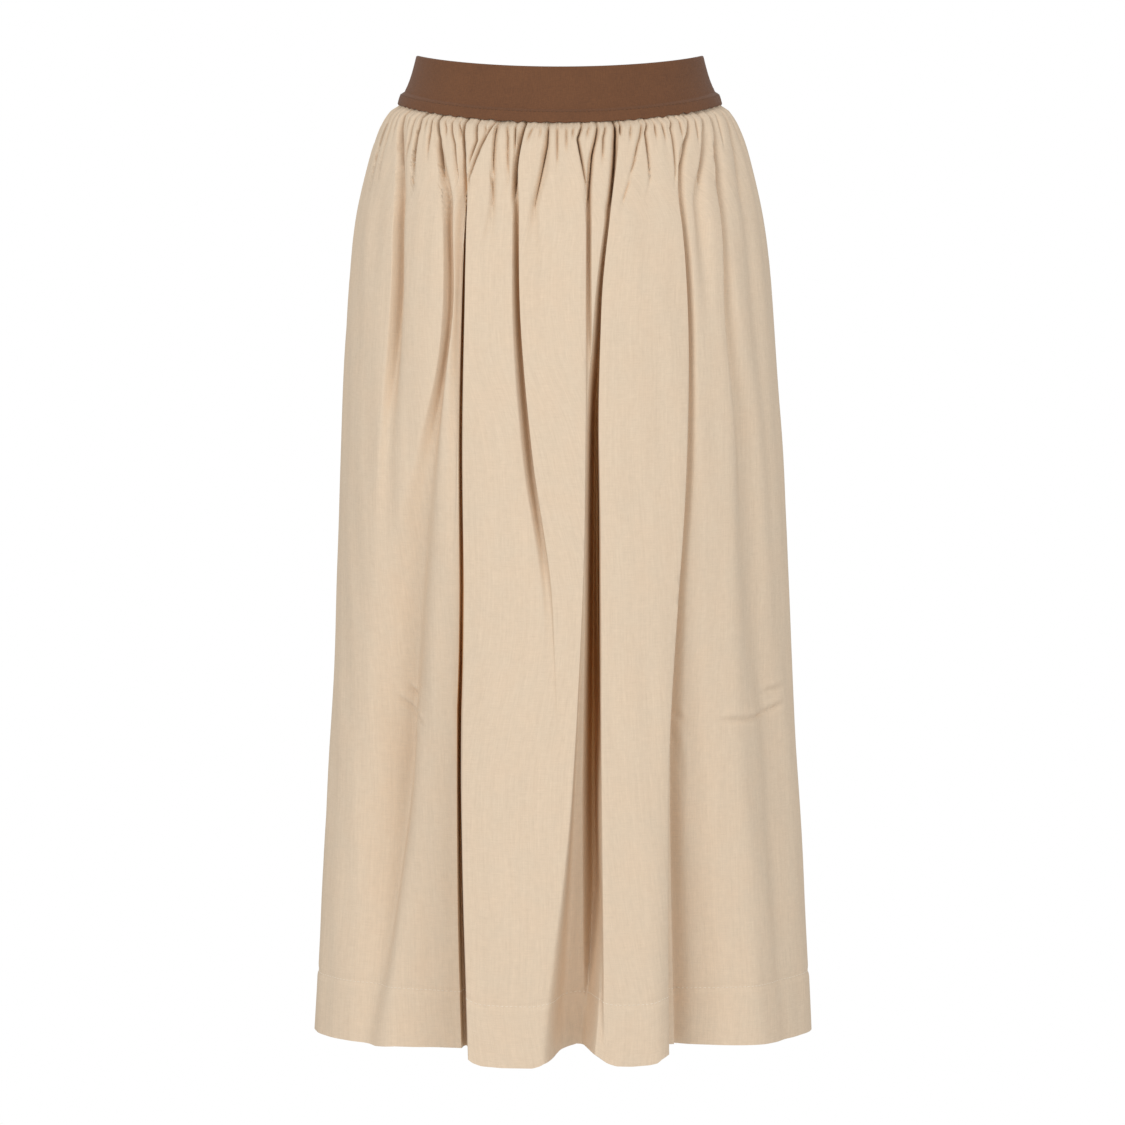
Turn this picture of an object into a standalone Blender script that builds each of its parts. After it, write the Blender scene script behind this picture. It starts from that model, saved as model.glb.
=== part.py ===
"""Gathered midi skirt: a front and a back panel gathered into a wide elastic waistband.

The skirt stands open and hollow, as it is worn. The tables are in millimetres and degrees, and the
model is in metres. Drop is the distance below the waist, measured down the side seams. Turn is the
angle round the skirt, seen from above, from the middle of a panel (0) to its side seams (-90, 90).
"""

import math
import random

import bmesh
import bpy
import numpy as np

MM = 0.001
SKIRT_NAME = "gathered_midi_skirt"

# Waistband: a woven elastic ring, stitched over the gathered edges.
BAND_WALL = 1.6
BAND_COLUMNS = 80
BAND_ROUGHNESS = 0.8
SHARP_EDGE = math.radians(50)

# Panels: each is gathered to the band and ends in a turned-up hem.
CLOTH_WALL = 2.0
HEM_WALL = 2.8
HEM_DEPTH = 52.0
HEM_DROP = 825.0
SEAM_GAP = 0.8
CLOTH_ROUGHNESS = 0.85
DIP_SHARPNESS = 1.3

# Gathers: valleys this far apart at the band, pressed flat under it and fading out below it.
GATHER_PITCH = 4.0
LEAST_PITCH = 1.2
PITCH_SPREAD = 0.16
GATHER_DEPTH = 4.6
DEPTH_SHARES = (0.55, 1.0)
GATHER_SHARPNESS = 2.2
GATHER_TOP = 44.0
END_DROPS = (60.0, 88.0)
END_SPREAD = 0.5
CENTRING = 0.0009
PRESSED_SHARE, PRESSED_DROP, FULL_DROP = 0.22, 41.0, 52.0
FADE_DROP, FADE_RUN_OUT = 50.0, 8.0
SEAM_FLATNESS = 0.2
COLUMNS_PER_GATHER = 2

# Long folds: their slopes widen below the hip, and a deep one leans over in full.
HIP_DROP = 120.0
LEANING_DEPTH = 20.0
SHOULDER_SHARE, SHOULDER_REACH = 0.28, 3.0
FRONTAL_PRESS = 0.3
SEAM_HOLD = math.radians(24)

# Between these drops the cloth stops following the gathers and hangs evenly between the folds.
FREE_DROP, SETTLED_DROP = 62.0, 135.0
SECTION_SAMPLES = 2400

PANEL_ROWS = (
    33.5, 41, 43.5, 47, 53, 61, 71, 84, 100, 122, 150, 190, 240,
    300, 370, 440, 510, 580, 650, 715, 770, 774, 825,
)

# The band's outer face: half of its width, its reach to the front and back.
BAND_OUTLINE_COLUMNS = ("drop", "half_width", "front", "back")
BAND_OUTLINE = (
    (0, 121.7, 85.0, 85.0),
    (10, 124.2, 86.0, 86.5),
    (20, 127.2, 87.5, 88.5),
    (30, 131.8, 90.0, 91.5),
    (33, 135.3, 93.0, 94.5),
    (41, 137.8, 95.0, 97.0),
)

# The crests of the cloth below it, and how far the front of each level hangs below its sides.
OUTLINE_COLUMNS = ("drop", "half_width", "front", "back", "front_dip")
OUTLINE = (
    (0, 121.7, 85.0, 85.0, 20.6),
    (33.5, 133.0, 90.7, 92.2, 26.5),
    (41, 135.4, 92.6, 94.6, 27.0),
    (47, 144.0, 101.0, 104.0, 27.0),
    (60, 152.0, 108.5, 112.0, 26.7),
    (90, 161.7, 116.5, 122.5, 26.0),
    (140, 172.6, 125.5, 136.0, 24.3),
    (190, 178.2, 131.0, 146.0, 22.5),
    (290, 184.8, 137.5, 155.0, 20.0),
    (400, 189.7, 142.5, 160.0, 18.3),
    (500, 193.0, 147.5, 163.5, 16.8),
    (600, 198.5, 152.5, 167.0, 15.0),
    (700, 204.0, 158.5, 171.0, 13.0),
    (825, 210.0, 165.0, 176.0, 10.5),
)

# Long folds: for each valley its turn and its depth at these drops, then the reach of its left
# and right slopes at the hip and at the hem, and how far its floor leans to the right.
LEVELS = (45, 80, 120, 200, 320, 450, 600, 825)
FORM_COLUMNS = ("left_hip", "right_hip", "left_hem", "right_hem", "lean")

FRONT_TURNS = {
    "far_left": (-61.0, -55.0, -52.5, -49.5, -50.4, -52.0, -54.0, -56.0),
    "left_soft": (-43.0, -37.5, -34.0, -31.2, -34.4, -38.0, -41.5, -45.0),
    "left_slit": (-33.7, -29.4, -28.0, -28.5, -29.1, -29.5, -28.9, -25.7),
    "left_step": (-33.7, -29.4, -28.0, -28.5, -29.1, -29.5, -28.9, -25.7),
    "left_inner": (-22.0, -20.4, -19.5, -22.5, -23.0, -23.0, -23.0, -23.0),
    "middle_shade": (-17.6, -15.8, -15.0, -14.8, -14.6, -13.5, -12.0, -12.0),
    "middle_line": (-14.0, -13.2, -13.6, -13.2, -10.1, -3.9, -2.0, -2.0),
    "middle_short": (-3.7, -5.4, -7.1, -7.6, -8.0, -8.0, -8.0, -8.0),
    "recess_branch": (6.3, 6.8, 8.2, 8.2, 8.0, 7.8, 7.6, 6.7),
    "recess": (8.0, 8.0, 8.0, 8.0, 6.8, 6.4, 4.0, -1.0),
    "slit": (17.9, 15.7, 13.2, 9.2, 7.9, 7.6, 7.5, 6.7),
    "right_slit": (40.2, 38.8, 38.1, 38.2, 36.8, 34.1, 32.3, 30.4),
    "right_step": (40.2, 38.8, 38.1, 38.2, 36.8, 34.1, 32.3, 30.4),
    "right_inner": (52.0, 46.4, 42.3, 43.0, 44.0, 44.0, 44.0, 44.0),
    "right_soft": (60.0, 55.0, 51.8, 50.2, 53.4, 55.8, 58.5, 60.5),
    "far_right": (76.0, 75.5, 69.5, 66.0, 67.0, 70.0, 72.0, 74.0),
}
FRONT_DEPTHS = {
    "far_left": (2, 5, 9, 11, 6, 2, 2, 3),
    "left_soft": (2, 5, 8, 9, 7, 10, 13, 8),
    "left_slit": (3, 10, 18, 24, 25, 25, 24, 20),
    "left_step": (0, 0, 0, 2, 10, 24, 46, 80),
    "left_inner": (2, 3, 3, 3, 0, 0, 0, 0),
    "middle_shade": (1, 2, 3, 4, 5, 4, 1, 0),
    "middle_line": (2, 6, 9, 13, 13, 9, 0, 0),
    "middle_short": (2, 3, 3, 3, 0, 0, 0, 0),
    "recess_branch": (2, 4, 7, 4, 0, 0, 0, 0),
    "recess": (0, 0, 0, 0, 2, 10, 44, 104),
    "slit": (2, 6, 11, 22, 38, 50, 50, 40),
    "right_slit": (2, 6, 10, 13, 14, 13, 10, 6),
    "right_step": (0, 0, 0, 0, 3, 16, 42, 86),
    "right_inner": (2, 5, 4, 3, 0, 0, 0, 0),
    "right_soft": (2, 6, 9, 9, 9, 11, 12, 12),
    "far_right": (1, 3, 4, 4, 3, 3, 4, 5),
}
FRONT_FORMS = {
    "far_left": (6, 5, 24, 24, 0),
    "left_soft": (7, 4, 30, 22, 0),
    "left_slit": (4, 3, 7, 5, 4),
    "left_step": (30, 6, 60, 7, 8),
    "left_inner": (5, 5, 10, 10, 0),
    "middle_shade": (7, 6, 16, 10, 0),
    "middle_line": (4, 4, 9, 9, 3),
    "middle_short": (4, 4, 10, 10, 0),
    "recess_branch": (4, 4, 6, 6, 0),
    "recess": (8, 5, 7, 26, 0),
    "slit": (4, 3, 6, 5, 8),
    "right_slit": (3, 5, 4, 9, -4),
    "right_step": (6, 30, 7, 58, -8),
    "right_inner": (5, 6, 10, 10, 0),
    "right_soft": (6, 9, 24, 30, 0),
    "far_right": (7, 7, 24, 24, 0),
}

# The back hangs like the front, with folds of its own.
BACK_TURNS = {
    "far_left": (-68.0, -65.0, -62.0, -60.0, -60.0, -59.0, -58.0, -57.0),
    "left_deep": (-47.0, -43.0, -40.0, -37.5, -36.0, -34.5, -33.5, -32.0),
    "left_short": (-30.0, -27.0, -24.5, -22.0, -20.0, -18.0, -18.0, -18.0),
    "middle_deep": (-12.0, -9.0, -7.5, -6.0, -5.0, -4.6, -4.0, -3.0),
    "middle_short": (3.0, 4.0, 5.5, 8.0, 10.0, 12.0, 12.0, 12.0),
    "right_line": (20.0, 18.5, 17.0, 16.5, 17.5, 20.0, 22.0, 23.0),
    "right_deep": (36.0, 34.5, 33.0, 32.0, 31.5, 31.0, 30.0, 28.5),
    "right_short": (51.0, 47.0, 45.0, 44.0, 44.0, 44.0, 44.0, 44.0),
    "far_right": (66.0, 62.0, 58.5, 56.0, 56.0, 57.0, 58.0, 59.0),
}
BACK_DEPTHS = {
    "far_left": (2, 5, 8, 10, 9, 10, 12, 14),
    "left_deep": (3, 8, 13, 18, 26, 38, 56, 80),
    "left_short": (2, 5, 7, 8, 6, 2, 0, 0),
    "middle_deep": (3, 8, 13, 20, 30, 42, 60, 86),
    "middle_short": (2, 5, 6, 5, 2, 0, 0, 0),
    "right_line": (2, 6, 9, 12, 10, 6, 4, 3),
    "right_deep": (2, 6, 10, 15, 24, 36, 54, 78),
    "right_short": (2, 5, 6, 4, 0, 0, 0, 0),
    "far_right": (2, 5, 9, 11, 9, 9, 11, 13),
}
BACK_FORMS = {
    "far_left": (7, 6, 26, 24, 0),
    "left_deep": (8, 5, 30, 9, 7),
    "left_short": (5, 5, 12, 12, 0),
    "middle_deep": (5, 8, 9, 22, -7),
    "middle_short": (5, 5, 12, 12, 0),
    "right_line": (5, 5, 14, 12, 2),
    "right_deep": (5, 9, 9, 30, -7),
    "right_short": (5, 5, 12, 12, 0),
    "far_right": (6, 7, 24, 26, 0),
}

# Gathers that show most at the front: turn at the band, turn and drop where each ends, depth.
GATHER_COLUMNS = ("turn", "end_turn", "end_drop", "depth")
FRONT_GATHERS = (
    (-83.0, -86.5, 80, 3.0),
    (-70.0, -69.8, 122, 4.6),
    (-61.5, -54.0, 99, 3.6),
    (-52.0, -49.5, 84, 4.6),
    (-42.7, -36.5, 95, 4.2),
    (-33.2, -28.8, 94, 4.6),
    (-27.6, -26.6, 86, 3.8),
    (-22.0, -19.3, 111, 3.0),
    (-14.3, -13.2, 92, 4.2),
    (-3.7, -5.7, 86, 3.0),
    (6.3, 6.9, 84, 3.6),
    (11.9, 9.4, 89, 4.4),
    (17.9, 15.5, 85, 3.8),
    (25.9, 19.6, 108, 3.0),
    (29.0, 26.9, 104, 3.2),
    (38.5, 36.2, 96, 3.4),
    (45.0, 40.0, 78, 3.2),
    (51.9, 46.2, 88, 4.0),
    (58.8, 53.6, 97, 4.2),
    (74.0, 72.5, 90, 3.2),
)
BACK_GATHERS = (
    (-68.0, -64.0, 110, 3.8),
    (-47.0, -42.0, 95, 4.2),
    (-30.0, -26.0, 100, 3.6),
    (-12.0, -8.5, 100, 4.2),
    (3.0, 4.5, 85, 3.4),
    (20.0, 18.0, 105, 3.8),
    (36.0, 34.0, 95, 4.0),
    (51.0, 46.5, 90, 3.6),
    (66.0, 61.0, 100, 3.8),
)

# (turn of the gather at the band that runs into it, long fold that reaches the hem)
FRONT_ANCHORS = ((-36.0, "left_slit"), (11.9, "slit"), (45.0, "right_slit"))
BACK_ANCHORS = ((-47.0, "left_deep"), (-12.0, "middle_deep"), (36.0, "right_deep"))

PANELS = {
    "front_panel": {
        "faces_back": False,
        "turns": FRONT_TURNS,
        "depths": FRONT_DEPTHS,
        "forms": FRONT_FORMS,
        "gathers": FRONT_GATHERS,
        "anchors": FRONT_ANCHORS,
        "seed": 11,
    },
    "back_panel": {
        "faces_back": True,
        "turns": BACK_TURNS,
        "depths": BACK_DEPTHS,
        "forms": BACK_FORMS,
        "gathers": BACK_GATHERS,
        "anchors": BACK_ANCHORS,
        "seed": 23,
    },
}

BAND_COLOUR = (0.165, 0.080, 0.042, 1.0)
CLOTH_COLOUR = (0.745, 0.600, 0.445, 1.0)


def clear_scene():
    for item in list(bpy.data.objects):
        bpy.data.objects.remove(item, do_unlink=True)


def columns_of(rows, names):
    """A table's rows as one array for each named column."""
    return {name: np.array(values, float) for name, values in zip(names, zip(*rows))}


def along(at, stations, values):
    """A smooth curve through the values, which never overshoots them."""
    stations = np.asarray(stations, float)
    values = np.asarray(values, float)
    steps = np.diff(stations)
    rises = np.diff(values) / steps
    slopes = np.zeros_like(values)
    level = rises[:-1] * rises[1:] <= 0
    mean = 2 * rises[:-1] * rises[1:] / np.where(level, 1, rises[:-1] + rises[1:])
    slopes[1:-1] = np.where(level, 0, mean)
    slopes[0], slopes[-1] = rises[0], rises[-1]
    at = np.clip(at, stations[0], stations[-1])
    cell = np.clip(np.searchsorted(stations, at, side="right") - 1, 0, len(steps) - 1)
    step = steps[cell]
    part = (at - stations[cell]) / step
    rest = 1 - part
    return (
        values[cell] * (1 + 2 * part) * rest**2
        + values[cell + 1] * (1 + 2 * rest) * part**2
        + step * part * rest * (slopes[cell] * rest - slopes[cell + 1] * part)
    )


def smooth_step(value, start, end):
    part = np.clip((value - start) / (end - start), 0, 1)
    return part * part * (3 - 2 * part)


OUTLINE_AT = columns_of(OUTLINE, OUTLINE_COLUMNS)
BAND_AT = columns_of(BAND_OUTLINE, BAND_OUTLINE_COLUMNS)


def outline(name, drop):
    return float(along(drop, OUTLINE_AT["drop"], OUTLINE_AT[name]))


def lowering(turn, drop, faces_back):
    """How far a level hangs below its sides at each turn: only the front dips."""
    if faces_back:
        return np.zeros_like(turn)
    return outline("front_dip", drop) * np.maximum(np.cos(turn), 0) ** DIP_SHARPNESS


def long_folds(panel, drop):
    """The turn, depth, slopes and lean of each long fold at one level."""
    found = []
    lowness = smooth_step(drop, HIP_DROP, HEM_DROP)
    for name, turns in panel["turns"].items():
        form = dict(zip(FORM_COLUMNS, panel["forms"][name]))
        depth = float(along(drop, LEVELS, panel["depths"][name]))
        found.append({
            "turn": math.radians(float(along(drop, LEVELS, turns))),
            "depth": depth,
            "left": form["left_hip"] + (form["left_hem"] - form["left_hip"]) * lowness,
            "right": form["right_hip"] + (form["right_hem"] - form["right_hip"]) * lowness,
            "lean": form["lean"] * min(1.0, depth / LEANING_DEPTH),
        })
    return found


def section(panel, drop, turn, relief=0.0):
    """Points of one level, in millimetres: the outline pressed in by the long folds and gathers."""
    half_width = outline("half_width", drop)
    reach = outline("back" if panel["faces_back"] else "front", drop)
    quarter = math.pi / 2
    facing = turn * (FRONTAL_PRESS + (1 - FRONTAL_PRESS) * abs(turn) / quarter)
    inward = np.zeros_like(turn)
    sideways = np.zeros_like(turn)
    for fold in long_folds(panel, drop):
        scale = math.hypot(half_width * math.cos(fold["turn"]), reach * math.sin(fold["turn"]))
        away = (turn - fold["turn"]) * scale
        near = away / np.where(away < 0, fold["left"], fold["right"])
        press = (1 - SHOULDER_SHARE) * np.exp(-near**2)
        press += SHOULDER_SHARE * np.exp(-((near / SHOULDER_REACH) ** 2))
        inward += fold["depth"] * press
        sideways += fold["lean"] * press
    seam_hold = smooth_step(quarter - abs(turn), 0, SEAM_HOLD)
    inward = inward * seam_hold + relief
    sideways = sideways * seam_hold
    x = half_width * np.sin(turn) + np.cos(facing) * sideways - np.sin(facing) * inward
    y = -reach * np.cos(turn) + np.sin(facing) * sideways + np.cos(facing) * inward
    z = -drop - lowering(turn, drop, panel["faces_back"])
    if panel["faces_back"]:
        x, y = -x, -y
    return np.stack([x, y, z], axis=-1)


def gathers_of(panel):
    """Every gather of a panel: the ones placed by hand, and even ones between them."""
    draw = random.Random(panel["seed"])
    placed = [dict(zip(GATHER_COLUMNS, row)) for row in panel["gathers"]]
    ends = [-90.0] + [gather["turn"] for gather in placed] + [90.0]
    found = []
    for index, (start, end) in enumerate(zip(ends, ends[1:])):
        if index:
            found.append(placed[index - 1])
        count = max(0, round((end - start) / GATHER_PITCH) - 1)
        pitch = (end - start) / (count + 1)
        for place in range(count):
            turn = start + (place + 1 + draw.uniform(-PITCH_SPREAD, PITCH_SPREAD)) * pitch
            end_drop = draw.uniform(*END_DROPS)
            drift = turn * CENTRING * (end_drop - GATHER_TOP)
            found.append({
                "turn": turn,
                "end_turn": turn - drift + draw.uniform(-END_SPREAD, END_SPREAD),
                "end_drop": end_drop,
                "depth": GATHER_DEPTH * draw.uniform(*DEPTH_SHARES),
            })
    for beside_seam in (found[0], found[-1]):
        beside_seam["depth"] *= SEAM_FLATNESS
    return found


def gather_turns(gathers, drop):
    """The turn of each gather's valley at one level, kept apart and in order."""
    part = np.array([smooth_step(drop, GATHER_TOP, gather["end_drop"]) for gather in gathers])
    starts = np.array([gather["turn"] for gather in gathers])
    ends = np.array([gather["end_turn"] for gather in gathers])
    turns = starts + (ends - starts) * part
    for index in range(1, len(turns)):
        turns[index] = max(turns[index], turns[index - 1] + LEAST_PITCH)
    return np.radians(turns)


def gather_depths(gathers, drop):
    """The depth of each gather at one level."""
    freed = PRESSED_SHARE + (1 - PRESSED_SHARE) * smooth_step(drop, PRESSED_DROP, FULL_DROP)
    return np.array([
        gather["depth"] * freed
        * (1 - smooth_step(drop, FADE_DROP, gather["end_drop"] + FADE_RUN_OUT))
        for gather in gathers
    ])


def settled_turns(panel, gathers, places, drop):
    """Turns that share out a level's cloth evenly between the folds that reach the hem."""
    turn = np.linspace(-math.pi / 2, math.pi / 2, SECTION_SAMPLES)
    points = section(panel, drop, turn)
    lengths = np.concatenate([[0], np.cumsum(np.linalg.norm(np.diff(points, axis=0), axis=1))])
    stops, knots = [0.0], [0.0]
    starts = np.array([gather["turn"] for gather in gathers])
    for band_turn, name in panel["anchors"]:
        stops.append(float(np.argmin(abs(starts - band_turn))) + 0.5)
        fold_turn = math.radians(float(along(drop, LEVELS, panel["turns"][name])))
        knots.append(float(np.interp(fold_turn, turn, lengths)))
    stops.append(float(len(gathers)))
    knots.append(lengths[-1])
    return np.interp(np.interp(places, stops, knots), lengths, turn)


def panel_row(panel, gathers, places, drop):
    """One row of cloth. A place is a position along it, in gathers, and valleys are at halves."""
    count = len(gathers)
    stops = np.concatenate([[0], np.arange(count) + 0.5, [count]])
    quarter = math.pi / 2
    knots = np.concatenate([[-quarter], gather_turns(gathers, drop), [quarter]])
    turn = np.interp(places, stops, knots)
    share = float(smooth_step(drop, FREE_DROP, SETTLED_DROP))
    if share > 0:
        turn += (settled_turns(panel, gathers, places, drop) - turn) * share
    depths = gather_depths(gathers, drop)[np.clip(places.astype(int), 0, count - 1)]
    relief = depths * (0.5 - 0.5 * np.cos(2 * math.pi * places)) ** GATHER_SHARPNESS
    margin = SEAM_GAP / 2 / outline("front", drop)
    turn = np.clip(turn, margin - quarter, quarter - margin)
    return section(panel, drop, turn, relief)


def grid_mesh(name, rows):
    """A sheet of quads through rows of points, facing the side from which rows run left to right."""
    sheet = bmesh.new()
    lines = [[sheet.verts.new(point * MM) for point in row] for row in rows]
    for upper, lower in zip(lines, lines[1:]):
        for column in range(len(upper) - 1):
            sheet.faces.new((upper[column], lower[column], lower[column + 1], upper[column + 1]))
    mesh = bpy.data.meshes.new(name)
    sheet.to_mesh(mesh)
    sheet.free()
    mesh.shade_smooth()
    return mesh


def material(name, colour, roughness):
    made = bpy.data.materials.new(name)
    made.use_nodes = True
    shader = made.node_tree.nodes["Principled BSDF"]
    shader.inputs["Base Color"].default_value = colour
    shader.inputs["Roughness"].default_value = roughness
    shader.inputs["Metallic"].default_value = 0.0
    made.diffuse_color = colour
    return made


def make_panel(name, panel, collection):
    """A panel's wall, thicker where its hem is turned up."""
    gathers = gathers_of(panel)
    places = np.arange(len(gathers) * COLUMNS_PER_GATHER + 1) / COLUMNS_PER_GATHER
    rows = [panel_row(panel, gathers, places, drop) for drop in PANEL_ROWS]
    item = bpy.data.objects.new(name, grid_mesh(name, rows))
    collection.objects.link(item)
    item.data.materials.append(material(name + "_cloth", CLOTH_COLOUR, CLOTH_ROUGHNESS))
    hem = item.vertex_groups.new(name="hem")
    first = next(row for row, drop in enumerate(PANEL_ROWS) if drop > HEM_DROP - HEM_DEPTH)
    hem.add(list(range(first * len(places), len(PANEL_ROWS) * len(places))), 1.0, "REPLACE")
    wall = item.modifiers.new("wall", "SOLIDIFY")
    wall.thickness = HEM_WALL * MM
    wall.offset = -1.0
    wall.vertex_group = hem.name
    wall.thickness_vertex_group = CLOTH_WALL / HEM_WALL
    return item


def band_points(drop, inset):
    """A closed ring of the band's outer face, moved in by the inset."""
    turn = np.linspace(0, 2 * math.pi, BAND_COLUMNS, endpoint=False)
    half_width, front, back = (
        float(np.interp(drop, BAND_AT["drop"], BAND_AT[name]))
        for name in ("half_width", "front", "back")
    )
    reach = np.where(np.cos(turn) > 0, front, back)
    dip = outline("front_dip", drop) * np.maximum(np.cos(turn), 0) ** DIP_SHARPNESS
    x = (half_width - inset) * np.sin(turn)
    y = -(reach - inset) * np.cos(turn)
    return np.stack([x, y, -drop - dip], axis=-1)


def make_band(collection):
    """A closed ring of elastic: its outer face going down, then its inner face coming back up."""
    drops = [row[0] for row in BAND_OUTLINE]
    rings = [band_points(drop, 0) for drop in drops]
    rings += [band_points(drop, BAND_WALL) for drop in reversed(drops)]
    ring_mesh = bmesh.new()
    lines = [[ring_mesh.verts.new(point * MM) for point in ring] for ring in rings]
    for upper, lower in zip(lines, lines[1:] + lines[:1]):
        for column in range(BAND_COLUMNS):
            after = (column + 1) % BAND_COLUMNS
            ring_mesh.faces.new((upper[column], lower[column], lower[after], upper[after]))
    mesh = bpy.data.meshes.new("waistband")
    ring_mesh.to_mesh(mesh)
    ring_mesh.free()
    mesh.shade_smooth()
    mesh.set_sharp_from_angle(angle=SHARP_EDGE)
    item = bpy.data.objects.new("waistband", mesh)
    collection.objects.link(item)
    mesh.materials.append(material("elastic", BAND_COLOUR, BAND_ROUGHNESS))
    return item


def main():
    clear_scene()
    collection = bpy.data.collections.new(SKIRT_NAME)
    bpy.context.scene.collection.children.link(collection)
    make_band(collection)
    for name, panel in PANELS.items():
        make_panel(name, panel, collection)


main()
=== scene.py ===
"""The looks of a gathered midi skirt: fine cloth, elastic, stitching, and a pale studio.

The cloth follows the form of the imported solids, with more rows and columns, with shallower folds at
the front's hem, and with the creases that the solids leave out. The tables are in millimetres and
degrees. Drop is the distance below the waist, measured down the side seams. Turn is the angle round
the skirt, seen from above, from the middle of a panel (0) to its side seams (-90, 90).
"""

import math
import random

import bpy
import numpy as np
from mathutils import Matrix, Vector


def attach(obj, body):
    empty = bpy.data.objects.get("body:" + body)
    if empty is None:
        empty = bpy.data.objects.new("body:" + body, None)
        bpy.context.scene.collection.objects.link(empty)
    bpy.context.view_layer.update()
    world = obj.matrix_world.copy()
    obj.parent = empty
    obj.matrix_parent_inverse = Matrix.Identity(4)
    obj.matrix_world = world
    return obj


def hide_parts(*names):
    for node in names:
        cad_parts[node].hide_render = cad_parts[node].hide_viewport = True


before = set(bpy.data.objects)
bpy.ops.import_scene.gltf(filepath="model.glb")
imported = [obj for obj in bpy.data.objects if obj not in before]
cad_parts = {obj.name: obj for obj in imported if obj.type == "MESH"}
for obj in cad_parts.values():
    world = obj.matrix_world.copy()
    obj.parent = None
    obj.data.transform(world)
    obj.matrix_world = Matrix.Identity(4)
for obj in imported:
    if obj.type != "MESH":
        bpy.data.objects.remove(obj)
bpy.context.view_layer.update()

MM = 0.001
QUARTER = math.pi / 2

# ---- sizes of the cloth

CLOTH_WALL = 0.6
HEM_WALL = 1.5
HEM_DEPTH = 52
HEM_DROP = 825
CUT_WIDTH = 870
SEAM_PINCH = 0.9
SEAM_PINCH_REACH = 2.2
DIP_SHARPNESS = 1.3
CLOTH_SHARP_ANGLE = 60

# Gathers: pressed flat under the band, round below it, with a narrow pinch between each two. A
# long one runs out slowly below its end.
GATHER_TOP = 44
TUBE_DEPTH, TUBE_FADE_DROP, TUBE_END_DROP = 0.7, 50, 84
PINCH_POWER, PINCH_DEPTH, PINCH_REACH, PINCH_LEAN = 1.5, 0.88, 0.72, 0.35
PINCH_CONTRAST = 1.5
PRESSED_SHARE, PRESSED_DROP, FULL_DROP = 0.22, 41, 50
RUN_OUT_DROP, RUN_OUT_SHARE = 62, 0.7
COLUMNS_PER_GATHER = 9
COLUMN_CROWDING = 1.5

# A small split in the middle of each tube, which ends at a drop of its own.
SPLIT_DEPTH, SPLIT_WIDTH, SPLIT_END_DROP, SPLIT_SPREAD = 0.9, 0.09, 55, 9
SPLIT_PHASE = 2.4

# Puckers right under the band, where the seam takes up the cloth. Each wave is (its count round
# the skirt, the angle it sways by, its sways round the skirt).
PUCKER_DEPTH, PUCKER_END_DROP = 0.8, 52
PUCKER_WAVES = ((76, 3, 5), (64, 2, 7))

# Soft ripples that the gathers leave below them: stronger and weaker in slanting patches.
RIPPLE_DEPTH, RIPPLE_DROPS = 0.7, (50, 75, 110, 260)
RIPPLE_WAVE = (34, 2, 9)
RIPPLE_MEAN, RIPPLE_SWING, RIPPLE_PATCHES, RIPPLE_SLANT = 0.6, 0.4, 13, 40

# A faint unevenness of all the cloth below the gathers: upright waves, and slanting ones.
WAVE_DEPTH, WAVE_DROPS = 0.45, (90, 160)
UPRIGHT_COUNT, UPRIGHT_SWAY, SWAY_DROP, SWELL_DROP, SWELL_START = 21, 1.7, 61, 47, 1
SLANTING_COUNT, SLANTING_DROP, PATCH_COUNT, PATCH_DROP = 33, 38, 9, 71

# The hem's stitches pull the cloth in along their line, and below it the cloth is double.
HEM_GROOVE_DEPTH, HEM_GROOVE_WIDTH, HEM_PROUD, HEM_PROUD_RUN = 0.7, 2.2, 0.5, 3

# Long folds: a deep one leans over in full, and a full roll makes the softest slopes. Near the
# middle of a panel they press straight back, at its sides towards the skirt's inside. The side
# seams hold the cloth next to them flat.
LEANING_DEPTH = 20
FULL_ROLL, ROLL_REACH = 0.28, 3
SOFT_POWER, CRISP_POWER = 1.9, 4.5
FRONTAL_PRESS = 0.3
SEAM_HOLD = math.radians(24)

# Between these drops the cloth stops following the gathers and hangs evenly between the folds.
# There a bend of one radian draws as many columns as this length of flat cloth.
FREE_DROP, SETTLED_DROP = 62, 135
SECTION_SAMPLES = 9000
BEND_WEIGHT = 9

# Painted shade in the folds: how close a valley's walls are where the painted fold shade begins to
# darken the cloth's colour, and where it is full. The walls of a gather count less.
PAINTED_SHADE_CLOSENESS = (1.6, 6.2)
GATHER_CLOSENESS = 0.35

# Rows of cloth: (drop where a stretch begins, spacing of its rows)
ROW_STRETCHES = (
    (33.5, 3.75), (41, 1.75), (62, 3), (98, 5.2), (160, 16), (517, 2.1),
    (566, 19), (768, 2.4), (782, 8.6),
)

# The band's outer face: half of its width, its reach to the front and back.
BAND_OUTLINE_COLUMNS = ("drop", "half_width", "front", "back")
BAND_OUTLINE = (
    (0, 121.7, 85, 85),
    (10, 124.2, 86, 86.5),
    (20, 127.2, 87.5, 88.5),
    (30, 131.8, 90, 91.5),
    (33, 135.3, 93, 94.5),
    (41, 137.8, 95, 97),
)

# The crests of the cloth below it, and how far the front of each level hangs below its sides.
OUTLINE_COLUMNS = ("drop", "half_width", "front", "back", "front_dip")
OUTLINE = (
    (0, 121.7, 85, 85, 20.6),
    (33.5, 133, 90.7, 92.2, 26.5),
    (41, 135.4, 92.6, 94.6, 27),
    (47, 144, 101, 104, 27),
    (60, 152, 108.5, 112, 26.7),
    (90, 161.7, 116.5, 122.5, 26),
    (140, 172.6, 125.5, 136, 24.3),
    (190, 178.2, 131, 146, 22.5),
    (290, 184.8, 137.5, 155, 20),
    (400, 189.7, 142.5, 160, 18.3),
    (500, 193, 147.5, 163.5, 16.8),
    (600, 198.5, 152.5, 167, 15),
    (700, 204, 158.5, 171, 13),
    (825, 210, 165, 176, 10.5),
)

# The lower part hangs a little towards +X, most at its sides.
DRIFT, DRIFT_DROPS = 2.7, (190, 430)

# ---- folds

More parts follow.
